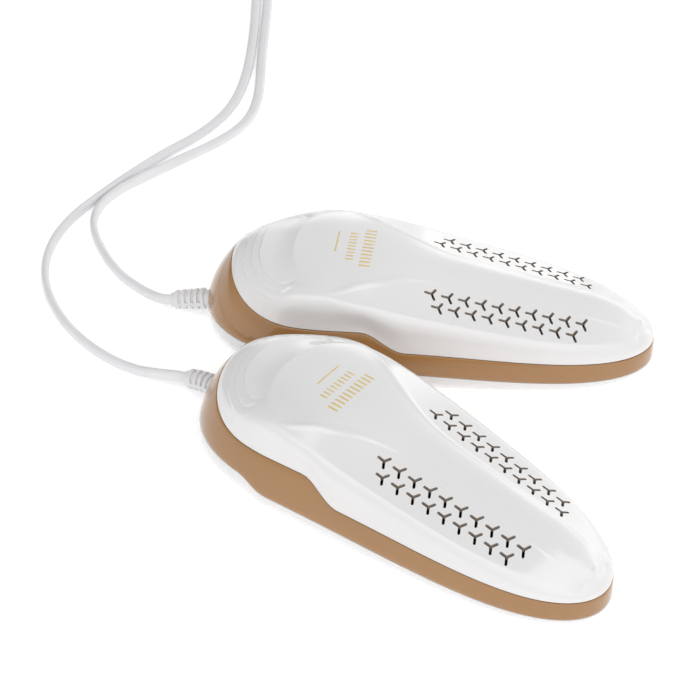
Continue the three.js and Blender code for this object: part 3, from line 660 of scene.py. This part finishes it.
def slot_cutter():
    """Three-armed slots with rounded ends, as upright prisms in one mesh."""
    angle = 2 * math.pi / 3
    outline = []
    half = SLOT_WIDTH / 2
    for arm in range(3):
        turn = math.pi + arm * angle
        along = np.array([math.cos(turn), math.sin(turn)])
        across = np.array([-math.sin(turn), math.cos(turn)])
        outline.append(along * half / math.sqrt(3) - across * half)
        for a in np.linspace(-math.pi / 2, math.pi / 2, 7):
            centre = along * (SLOT_ARM - half)
            outline.append(centre + half * (along * math.cos(a) + across * math.sin(a)))
    outline = np.array(outline)
    points, faces, count = [], [], len(outline)
    for x, y in slot_centres():
        base = len(points)
        for z in SLOT_CUT:
            points += [(x + p[0], y + p[1], z) for p in outline]
        faces.append(tuple(range(base + count - 1, base - 1, -1)))
        faces.append(tuple(range(base + count, base + 2 * count)))
        for i in range(count):
            j = (i + 1) % count
            faces.append((base + i, base + j, base + count + j, base + count + i))
    # The walls that this cut leaves in the shell carry the painted shade colour of the slots.
    return mesh_from("slots", points, faces, materials=[SLOT_SHADE])


def slot_centres():
    centres = []
    for count, half in SLOT_ROWS:
        for i in range(count):
            x = SLOT_MIDDLE + SLOT_PITCH * (i - (count - 1) / 2)
            y = half - 0.065 * (x - SLOT_MIDDLE)
            centres += [(x, y), (x, -y)]
    return centres


def top_shell():
    outer, inner = outer_top(), top_grid(WALL, INNER_ROWS)
    rim = band_top(OUT.x) + SEAM / 2
    loops = list(inner[::-1]) + [OUT.wall(rim, 0.24)] + list(outer)
    points, faces = loft(loops)
    indices = np.zeros(len(faces))
    # The inner skin's faces take the near-black painted shade (material 1).
    indices[: len(inner) * len(OUT.x)] = 1
    mesh = mesh_from("top_shell", points, faces, materials=[SHELL, INSIDE_SHADE], indices=indices)
    return combined(mesh, slot_cutter())


# ---------- Band and bottom shell ----------

# Rounding of the band's edges, as (distance from the edge, inset)
BAND_EDGE = ((0, 0.3), (0.1, 0.08), (0.32, 0))


def trim_band():
    low, high = band_bottom(OUT.x) + SEAM / 2, band_top(OUT.x) - SEAM / 2
    flat = BAND_EDGE[-1][0]
    loops = [OUT.wall(low, WALL)] + [OUT.wall(low + d, inset) for d, inset in BAND_EDGE]
    loops += [OUT.wall(mix(low + flat, high - flat, s), 0) for s in np.linspace(0, 1, 12)[1:-1]]
    loops += [OUT.wall(high - d, inset) for d, inset in BAND_EDGE[::-1]]
    loops += [OUT.wall(high, WALL), OUT.wall(mix(low, high, 0.5), WALL)]
    points, faces = loft(loops, True)
    return mesh_from("trim_band", points, faces)


def cylinder(x, y, radius, low, high, sides=40):
    angles = np.linspace(0, 2 * math.pi, sides, endpoint=False)
    ring = np.stack([x + radius * np.cos(angles), y + radius * np.sin(angles)], 1)
    points = [(*p, z) for z in (low, high) for p in ring]
    faces = [(i, (i + 1) % sides, sides + (i + 1) % sides, sides + i) for i in range(sides)]
    return points, faces + [tuple(range(sides))[::-1], tuple(range(sides, 2 * sides))]


def several(parts, name, materials=()):
    """One mesh from a list of (points, faces)."""
    points, faces = [], []
    for some_points, some_faces in parts:
        base = len(points)
        points += [tuple(p) for p in some_points]
        faces += [tuple(base + i for i in face) for face in some_faces]
    return mesh_from(name, points, faces, materials=materials)


def relief_hole():
    """Round hole through the heel for the strain relief, along its drooping axis."""
    parts = []
    tilt = Matrix.Rotation(math.pi / 2 - RELIEF_DROOP, 4, "Y")
    turn = Matrix.Translation((0, 0, RELIEF_HEIGHT)) @ tilt
    for radius, start, end in ((4.3, -7, 9), (5.3, 3.6, 9)):
        points, faces = cylinder(0, 0, radius, start, end)
        parts.append(([tuple(turn @ Vector(p)) for p in points], faces))
    return parts


def bottom_shell():
    edge = band_bottom(OUT.x) - SEAM / 2
    rounding = np.clip(0.7 * band_bottom(OUT.x), 2, 10.4)

    def bowl(share, wall):
        angle = share * math.pi / 2
        height = edge - (edge - wall) * math.sin(angle)
        return OUT.wall(height, wall + rounding * (1 - math.cos(angle)))

    inner = WALL + SEAM
    tongue = band_top(OUT.x) + TONGUE_RISE
    loops = [OUT.spine(SOLE_WALL), bowl(1, SOLE_WALL), bowl(0.4, inner + TONGUE_WALL - 1)]
    loops += [OUT.wall(tongue, inner + TONGUE_TUCK + TONGUE_WALL), OUT.wall(tongue, inner + TONGUE_TUCK)]
    loops += [OUT.wall(band_top(OUT.x), inner), OUT.wall(edge, inner), OUT.wall(edge, 0.28)]
    loops += [OUT.wall(edge - 0.08, 0.08)]
    loops += [bowl(share, 0) for share in np.linspace(0.03, 1, 22)]
    loops.append(OUT.spine(0))
    points, faces = loft(loops)
    mesh = mesh_from("bottom_shell", points, faces, materials=[SHELL])
    posts = [cylinder(x, y, 4.6, 1, 12) for x, y in CASE_SCREWS]
    mesh = combined(mesh, several(posts, "posts", [SHELL]), "UNION")
    holes = [cylinder(x, y, 3.1, -1, 3.72) for x, y in CASE_SCREWS]
    mesh = combined(mesh, several(holes, "holes", [SHELL]))
    for part in relief_hole():
        mesh = combined(mesh, several([part], "relief_hole", [SHELL]))
    return mesh


# ---------- Strain relief ----------

RELIEF_START, RELIEF_END, RELIEF_BRIDGE = 1.2, 17.5, math.radians(13)
RELIEF_PITCH, RELIEF_RIB, RELIEF_RIBS = 3.05, 1.8, 5


def relief_radius(s, angle):
    """Outer radius at a distance from the heel. Each slot leaves a bridge on either side."""
    if s < -4:
        return 5.0
    if s < RELIEF_START:
        return 4.0
    full = 5 - 0.04 * (s - RELIEF_START)
    if s > RELIEF_START + RELIEF_PITCH * (RELIEF_RIBS - 1) + RELIEF_RIB:
        return 3.3
    into = (s - RELIEF_START) % RELIEF_PITCH
    on_bridge = abs(math.sin(angle)) < math.sin(RELIEF_BRIDGE)
    return full if into <= RELIEF_RIB or on_bridge else 3.5


def strain_relief(name):
    """Ribbed sleeve round the cord, in the dryer's own frame."""
    axis = smooth_path(RELIEF_AXIS[name], 0.25)
    along = lengths_along(axis)
    at_heel = along[np.argmin(np.abs(axis[:, 0]))]
    stops = [-6, -4.02, -3.98, 1.18]
    for k in range(RELIEF_RIBS):
        start = RELIEF_START + RELIEF_PITCH * k
        stops += [start + 0.02, start + 0.22, start + RELIEF_RIB - 0.2, start + RELIEF_RIB - 0.01]
        stops += [start + RELIEF_RIB + 0.02, start + RELIEF_PITCH - 0.03]
    stops = stops[:-1] + [RELIEF_END - 0.4, RELIEF_END]
    edges = [turn + side * RELIEF_BRIDGE for turn in (0, math.pi) for side in (-1, 1)]
    near = [(edge + d) % (2 * math.pi) for edge in edges for d in (-0.01, 0.01)]
    angles = np.array(sorted(near + list(np.linspace(0, 2 * math.pi, 40)[:-1])))
    tangent = tangents(axis)

    def ring(s, radius):
        centre = np.array([np.interp(at_heel + s, along, axis[:, k]) for k in range(3)])
        t = np.array([np.interp(at_heel + s, along, tangent[:, k]) for k in range(3)])
        level = np.cross((0, 0, 1.0), t)
        level /= np.linalg.norm(level)
        upright = np.cross(t, level)
        outward = np.cos(angles)[:, None] * level + np.sin(angles)[:, None] * upright
        return centre + radius[:, None] * outward

    loops = []
    for i, s in enumerate(stops):
        radius = np.array([relief_radius(s, a) for a in angles])
        rounded = 4 <= i < len(stops) - 2 and (i - 4) % 6 in (0, 3)
        loops.append(ring(s, radius - 0.22 * (radius > 4.2) if rounded else radius))
    loops[-1] = ring(RELIEF_END, np.full(len(angles), 3.05))
    bore = np.full(len(angles), 2.7)
    loops += [ring(RELIEF_END, bore), ring(8, bore), ring(stops[0], bore)]
    points, faces = loft(loops, True)
    return mesh_from(name + "_relief", points, faces, sharp=32, materials=[RUBBER])


# ---------- Splitter, tie and plug ----------


def rounded_section(width, height, power=3.2, sides=64):
    angles = np.linspace(0, 2 * math.pi, sides, endpoint=False)
    c, s = np.cos(angles), np.sin(angles)
    share = 2 / power
    across = np.sign(c) * np.abs(c) ** share * width / 2
    up = np.sign(s) * np.abs(s) ** share * height / 2
    return np.stack([across, up], 1)


def moulded(name, stations, material, axis="x"):
    """Solid through rounded sections. Each station is (distance, width, height, middle height)."""
    loops = []
    for distance, width, height, middle in stations:
        section = rounded_section(width, height)
        across, up = section[:, 0], section[:, 1] + middle
        level = np.full(len(section), float(distance))
        loops.append(np.stack([level, across, up] if axis == "x" else [across, level, up], 1))
    points, faces = loft(loops)
    count = len(loops[0])
    faces += [tuple(range(count))[::-1], tuple(range(len(points) - count, len(points)))]
    return mesh_from(name, points, faces, sharp=50, materials=[material])


def splitter_mesh():
    z = SPLITTER_HEIGHT
    stations = [(0, 12.4, 4.6, z), (0.5, 14, 6, z), (1.6, 14.8, 6.8, z), (3, 15, 7, z)]
    stations += [(8, 15, 7, z), (11, 14.4, 6.9, z), (14, 12.4, 6.6, z), (16.2, 10.4, 6.3, z)]
    for k in range(3):
        y = 16.6 + 2.3 * k
        rib, root = 9.8 - 0.7 * k, 7.6 - 0.3 * k
        stations += [(y, root, 5, z), (y + 0.9, root, 5, z)]
        stations += [(y + 0.95, rib, 6.2, z), (y + 2.1, rib, 6.2, z)]
    stations += [(23.6, 7, 4.9, z), (24, 6.6, 4.6, z)]
    mesh = moulded("y_splitter", stations, RUBBER, "y")
    mesh.transform(Matrix.Translation((SPLITTER_X * MM, SPLITTER_START * MM, 0)))
    return mesh


def plug_mesh():
    z = PLUG_HEIGHT
    stations = [(0, 6.6, 5, z), (0.4, 7.4, 5.8, z)]
    for k in range(4):
        x = 0.5 + 2.2 * k
        rib, root = 8.2 + 0.9 * k, 6.8 + 0.7 * k
        stations += [(x, rib, 6 + 0.6 * k, z), (x + 1.2, rib, 6.2 + 0.6 * k, z)]
        stations += [(x + 1.25, root, 5.2 + 0.5 * k, z), (x + 2.15, root, 5.2 + 0.5 * k, z)]
    stations += [(9.4, 12.5, 9, z), (11, 17, 11.4, z), (13, 21.4, 12.8, z)]
    stations += [(15.5, 24, 13.5, z), (17, 24.4, 13.6, z)]
    for k in range(4):
        x = 18 + 2.2 * k
        stations += [(x, 24.9, 13.7, z), (x + 1.1, 24.9, 13.7, z)]
        stations += [(x + 1.35, 23.6, 13.7, z), (x + 1.95, 23.6, 13.7, z)]
    stations += [(27.2, 24.6, 13.7, z), (31, 23.4, 13.4, z), (33.2, 22.6, 12.8, z), (34, 21.4, 11.8, z)]
    mesh = moulded("plug_body", stations, PLUG)
    mesh.transform(Matrix.Translation((PLUG_X * MM, PLUG_Y * MM, 0)))
    return mesh


def turned(name, profile, materials, sides=40, indices=None, sharp=35):
    """Turned solid about Z from (radius, height) points that start and end on the axis."""
    angles = np.linspace(0, 2 * math.pi, sides, endpoint=False)
    loops = [np.stack([r * np.cos(angles), r * np.sin(angles), 0 * angles + h], 1) for r, h in profile]
    points, faces = loft(loops)
    rows = None if indices is None else np.repeat(indices, sides)
    return mesh_from(name, points, faces, sharp=sharp, materials=materials, indices=rows)


def pin_mesh(side):
    """Pin with an insulating sleeve over its first part and a rounded metal tip."""
    sleeve, metal_part = [(0, 0), (1.9, 0), (1.9, 9.6), (1.8, 9.8)], [(2, 9.8), (2, 17.4)]
    profile = sleeve + metal_part + [(1.8, 18.3), (1.3, 18.8), (0, 19)]
    mesh = turned("plug_pin", profile, [NICKEL, SLEEVE], indices=[1, 1, 1, 0, 0, 0, 0, 0])
    turn = Matrix.Rotation(math.pi / 2, 4, "Y")
    start = Vector((PLUG_X + PLUG_LENGTH + SEAM, PLUG_Y + side * PIN_SPACING / 2, PLUG_HEIGHT))
    mesh.transform(Matrix.Translation(start * MM) @ turn)
    return mesh


def tie_meshes():
    """Strap closed round the coil's section, with the small head that locks it."""
    inner, outer, low, high, corner, thickness = 18.2, 35.5, 0.15, 11.6, 2.4, 0.8
    outline = []
    for x, z, start in ((outer, high, 0), (inner, high, 90), (inner, low, 180), (outer, low, 270)):
        cx = x - corner if x == outer else x + corner
        cz = z - corner if z == high else z + corner
        for a in np.radians(np.linspace(start, start + 90, 9)):
            nx, nz = math.cos(a), math.sin(a)
            outline.append((cx + corner * nx, cz + corner * nz, nx, nz))
    loops = []
    half = TIE_WIDTH / 2
    for x, z, nx, nz in outline:
        loop = [(0, -half), (0, half), (0.15, half), (0.62, half - 0.25), (thickness, half - 0.9)]
        loop += [(thickness, 0.9 - half), (0.62, 0.25 - half), (0.15, -half)]
        sunk = [(d - thickness, y) for d, y in loop]
        loops.append(np.array([(x + nx * d, y, max(z + nz * d, 0.02)) for d, y in sunk]))
    points, faces = loft(loops, True)
    strap = mesh_from("cord_tie", points, faces, materials=[TIE])
    stations = [(-4.2, 6.6, 3.6, 0), (-3.8, 7.4, 4.4, 0), (-2, 7.8, 4.8, 0)]
    stations += [(2, 7.8, 4.8, 0), (3.8, 7.4, 4.4, 0), (4.2, 6.6, 3.6, 0)]
    head = moulded("cord_tie_head", stations, TIE)
    head.transform(Matrix.Translation((27 * MM, 0, 13.1 * MM)))
    centre = Matrix.Translation((COIL_CENTRE[0] * MM, COIL_CENTRE[1] * MM, 0))
    place = centre @ Matrix.Rotation(TIE_ANGLE, 4, "Z")
    strap.transform(place)
    head.transform(place)
    return strap, head


def case_screw():
    """Pan-head screw with a cross recess, its head downward and its tip above."""
    under = [(0, 1.72), (1.2, 1.76), (2.1, 1.95), (2.62, 2.35)]
    rim = [(2.8, 2.9), (2.8, 3.4), (2.66, 3.7), (1.4, 3.7)]
    thread = [(1.4, 4.2)]
    for k in range(14):
        z = 4.4 + 0.9 * k
        thread += [(1.15, z), (1.5, z + 0.35), (1.5, z + 0.45), (1.15, z + 0.8)]
    mesh = turned("case_screw", under + rim + thread + [(1.0, 17.2), (0, 18.5)], [STEEL])
    faces = [(3, 2, 1, 0), (4, 5, 6, 7)] + [(i, (i + 1) % 4, 4 + (i + 1) % 4, 4 + i) for i in range(4)]
    corners = ((-1, -1), (1, -1), (1, 1), (-1, 1))
    long, short = 2.9, 0.62
    for length, width in ((long, short), (short, long)):
        low = [(sx * length / 2, sy * width / 2, 1.5) for sx, sy in corners]
        narrow = [0.45 if side == long else 0.8 for side in (length, width)]
        high = [(x * narrow[0], y * narrow[1], 3.1) for x, y, _ in low]
        mesh = combined(mesh, several([(low + high, faces)], "cross", [STEEL]))
    return mesh


# ---------- Generic mark on the instep ----------


def mark_mesh(shell):
    """A thin bar and two rows of plain dashes, laid just proud of the plateau."""
    corners, polygons = [v.co for v in shell.vertices], [tuple(f.vertices) for f in shell.polygons]
    tree = BVHTree.FromPolygons(corners, polygons)

    def height(x, y):
        return tree.ray_cast(Vector((x * MM, y * MM, 0.1)), Vector((0, 0, -1)))[0].z / MM

    points, faces = [], []

    def dash(x0, x1, y0, y1):
        """Rounded bar between two corners, draped on the shell."""
        along_y = y1 - y0 > x1 - x0
        length, half = max(y1 - y0, x1 - x0), min(y1 - y0, x1 - x0) / 2
        rows = max(6, int(length / 1.2))
        base = len(points)
        for s in np.linspace(0, 1, rows + 1):
            at = length * (0.5 - 0.5 * math.cos(math.pi * s))
            from_end = min(at, length - at)
            wide = half * math.sqrt(max(0.04, 1 - max(0, 1 - from_end / half) ** 2))
            for side in (-1, -0.5, 0.5, 1):
                x = (x0 + x1) / 2 + side * wide if along_y else x0 + at
                y = y0 + at if along_y else (y0 + y1) / 2 + side * wide
                points.append((x, y, height(x, y) + (0.07 if abs(side) < 1 else -0.05)))
        for k in range(rows):
            for i in range(3):
                a = base + 4 * k + i
                faces.append((a, a + 1, a + 5, a + 4))
            a = base + 4 * k
            faces.append((a + 3, a, a + 4, a + 7))
        faces.append((base + 3, base + 2, base + 1, base))
        last = base + 4 * rows
        faces.append((last, last + 1, last + 2, last + 3))

    dash(59.6, 60.5, -5, 10)
    for k in range(9):
        dash(65, 69, -9.8 + 2.3 * k, -8.7 + 2.3 * k)
    for k in range(11):
        dash(71.6, 77, -13.2 + 2.5 * k, -11.9 + 2.5 * k)
    return mesh_from("mark", points, faces, materials=[GOLD])


# ---------- Assembly ----------

top_mesh, band_mesh, bottom_mesh = top_shell(), trim_band(), bottom_shell()
mark, screw_mesh = mark_mesh(top_mesh), case_screw()

# Kept from the CAD, inside the shells, with their own finishes
INSIDE_LOOKS = {
    "cable_clamp": BRACKET, "clamp_screw_1": STEEL, "clamp_screw_2": STEEL,
    "heater_bracket_heel": BRACKET, "heater_bracket_toe": BRACKET,
    "radiator_lower": ALUMINIUM, "radiator_upper": ALUMINIUM, "heater_core": CERAMIC,
    "thermal_cut_out": STEEL, "live_lead": LEAD_BROWN, "neutral_lead": LEAD_BLUE,
}

mains, mains_flatness = mains_path()
splitter = add(splitter_mesh(), "splitter", RUBBER, ["y_splitter"])
for name in DRYERS:
    place = placed(name)
    add(top_mesh, f"{name}_upper_shell", SHELL, [f"{name}_top_shell"], place)
    add(band_mesh, f"{name}_band", BAND, [f"{name}_trim_band"], place)
    add(bottom_mesh, f"{name}_lower_shell", SHELL, [f"{name}_bottom_shell"], place)
    add(mark, f"{name}_mark", GOLD, (), place)
    relief = add(strain_relief(name), f"{name}_relief", RUBBER,
                 [f"{name}_strain_relief"], place)
    for k, (x, y) in enumerate(CASE_SCREWS, 1):
        spot = place @ Matrix.Translation((x * MM, y * MM, 0)) @ Matrix.Rotation(0.7 * k, 4, "Z")
        add(screw_mesh, f"{name}_screw_{k}", STEEL, [f"{name}_case_screw_{k}"], spot)
    for part, look in INSIDE_LOOKS.items():
        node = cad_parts[f"{name}_{part}"]
        node.data.materials.clear()
        node.data.materials.append(look)
    path, flatness = branch_path(name)
    branch = add(cord_mesh(f"{name}_cord", path, flatness), f"{name}_cord", CORD,
                 [f"{name}_branch_cord"])

lead = add(cord_mesh("mains_lead_cord", mains, mains_flatness), "mains_cord", CORD,
           ["mains_lead", "cord_coil", "plug_tail"])
strap, head = tie_meshes()
plug_parts = [
    add(plug_mesh(), "plug", PLUG, ["plug_body"]),
    add(pin_mesh(1), "pin_1", NICKEL, ["plug_pin_1"]),
    add(pin_mesh(-1), "pin_2", NICKEL, ["plug_pin_2"]),
    add(strap, "tie", TIE, ["cord_tie"]),
    add(head, "tie_head", TIE),
]

# ---------- Floor, light and world ----------

floor_mesh = bpy.data.meshes.new("floor")
floor_mesh.from_pydata([(-6, -6, 0), (6, -6, 0), (6, 6, 0), (-6, 6, 0)], [], [(0, 1, 2, 3)])
floor_look = Look("floor", (0.93, 0.93, 0.93), 0.9)
floor_mesh.materials.append(floor_look.mottle(3, 0.004).material)
floor_look.shader.inputs["Roughness"].default_value = 0.9
floor_look.shader.inputs["Emission Color"].default_value = (1, 1, 1, 1)
floor_look.shader.inputs["Emission Strength"].default_value = 0.3
floor = bpy.data.objects.new("floor", floor_mesh)
bpy.context.scene.collection.objects.link(floor)

world = bpy.data.worlds.new("studio")
bpy.context.scene.world = world
world.use_nodes = True
sky, sky_links = world.node_tree.nodes, world.node_tree.links
sky["Background"].inputs["Color"].default_value = (1, 1, 1, 1)
direction = sky.new("ShaderNodeTexCoord")
parts = sky.new("ShaderNodeSeparateXYZ")
sky_links.new(direction.outputs["Generated"], parts.inputs["Vector"])


def ramp(axis, start, end, low, high):
    """Smooth change of brightness along one axis of the sky."""
    node = sky.new("ShaderNodeMapRange")
    node.interpolation_type = "SMOOTHSTEP"
    for label, value in (("From Min", start), ("From Max", end), ("To Min", low), ("To Max", high)):
        node.inputs[label].default_value = value
    sky_links.new(parts.outputs[axis], node.inputs["Value"])
    return node.outputs["Result"]


def math_of(operation, *values):
    node = sky.new("ShaderNodeMath")
    node.operation = operation
    for socket, value in zip(node.inputs, values):
        if isinstance(value, float):
            socket.default_value = value
        else:
            sky_links.new(value, socket)
    return node.outputs["Value"]


# A pale dome, brightest low down. Its back is dimmer on the left and brighter on the right.
# A tall soft box stands in front of it, and a low one behind.
at_back = ramp("Y", -0.25, 0.4, 0, 1)
back_change = math_of("MULTIPLY", at_back, ramp("X", -0.3, 0.02, -0.65, 0.6))
dome = math_of("MULTIPLY", ramp("Z", -0.1, 0.9, 0.93, 0.4), math_of("ADD", back_change, 1.0))
in_front = math_of("MULTIPLY", ramp("Y", -0.16, -0.02, 1, 0), ramp("Z", 0.955, 0.972, 1, 0))
front_box = math_of("MULTIPLY", in_front, ramp("Z", 0.35, 0.95, 0, 1.6))
low_behind = math_of("MULTIPLY", ramp("X", -0.4, -0.1, 0, 1), ramp("Z", 0.2, 0.42, 1, 0))
behind = math_of("MULTIPLY", ramp("Y", 0.3, 0.6, 0, 0.5), low_behind)
total = math_of("ADD", math_of("ADD", dome, front_box), behind)
sky_links.new(total, sky["Background"].inputs["Strength"])


def soft_light(name, power, size, spot, aim):
    data = bpy.data.lights.new(name, "AREA")
    data.shape = "RECTANGLE"
    data.size, data.size_y = size
    data.energy = power
    lamp = bpy.data.objects.new(name, data)
    lamp.location = spot
    lamp.rotation_euler = (Vector(spot) - Vector(aim)).to_track_quat("Z", "Y").to_euler()
    bpy.context.scene.collection.objects.link(lamp)


soft_light("key", 1.5, (1.4, 0.8), (0.5, -1.6, 1.2), (0, 0, 0))
